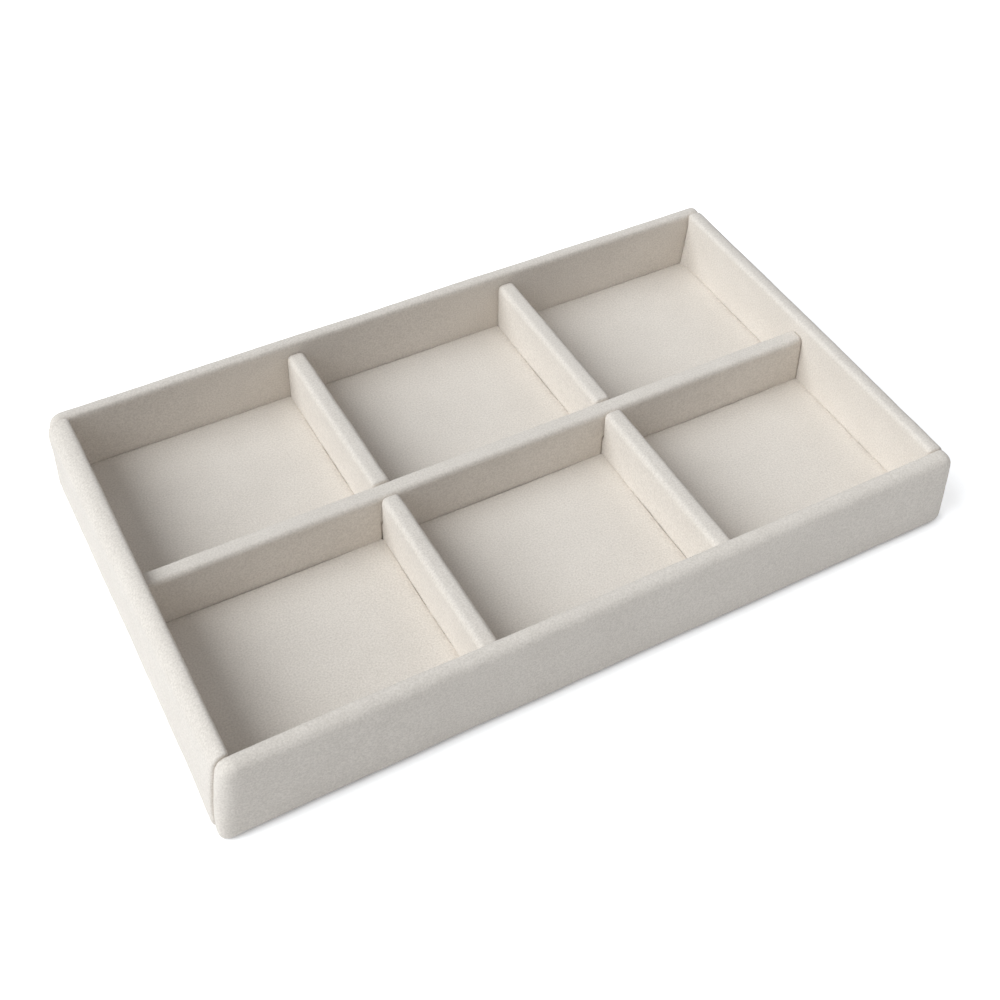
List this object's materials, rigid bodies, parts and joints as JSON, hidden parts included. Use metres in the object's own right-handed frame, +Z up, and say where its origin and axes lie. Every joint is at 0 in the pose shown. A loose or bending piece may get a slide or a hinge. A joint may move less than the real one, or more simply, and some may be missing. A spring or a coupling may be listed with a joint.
{
  "type": "jewelry tray",
  "caption": "Low open jewelry tray of velvet-wrapped padded boards, with halved dividers and a soft padded floor in every compartment.",
  "frame": {"origin": "middle of the underside, on the surface that the tray stands on", "axes": "+X along the tray's length, +Y from the front wall to the back wall, +Z up out of the compartments"},
  "size_m": [0.24, 0.15, 0.03],
  "materials": {
    "velvet": "short-nap off-white velvet",
    "board": "raw fibreboard",
    "foam": "thin white foam sheet",
    "card": "grey card",
    "lining": "matte felt"
  },
  "bodies": {
    "root": {"base_board": "board", "underside_lining": "lining", "front_wall_board": "board", "front_wall_foam": "foam", "front_wall_cover": "velvet", "back_wall_board": "board", "back_wall_foam": "foam", "back_wall_cover": "velvet", "left_wall_board": "board", "left_wall_foam": "foam", "left_wall_cover": "velvet", "right_wall_board": "board", "right_wall_foam": "foam", "right_wall_cover": "velvet", "long_divider_board": "board", "long_divider_foam": "foam", "long_divider_cover": "velvet", "left_cross_divider_board": "board", "left_cross_divider_foam": "foam", "left_cross_divider_cover": "velvet", "right_cross_divider_board": "board", "right_cross_divider_foam": "foam", "right_cross_divider_cover": "velvet", "front_left_pad_card": "card", "front_left_pad_foam": "foam", "front_left_pad_cover": "velvet", "front_middle_pad_card": "card", "front_middle_pad_foam": "foam", "front_middle_pad_cover": "velvet", "front_right_pad_card": "card", "front_right_pad_foam": "foam", "front_right_pad_cover": "velvet", "back_left_pad_card": "card", "back_left_pad_foam": "foam", "back_left_pad_cover": "velvet", "back_middle_pad_card": "card", "back_middle_pad_foam": "foam", "back_middle_pad_cover": "velvet", "back_right_pad_card": "card", "back_right_pad_foam": "foam", "back_right_pad_cover": "velvet"}
  },
  "joints": []
}
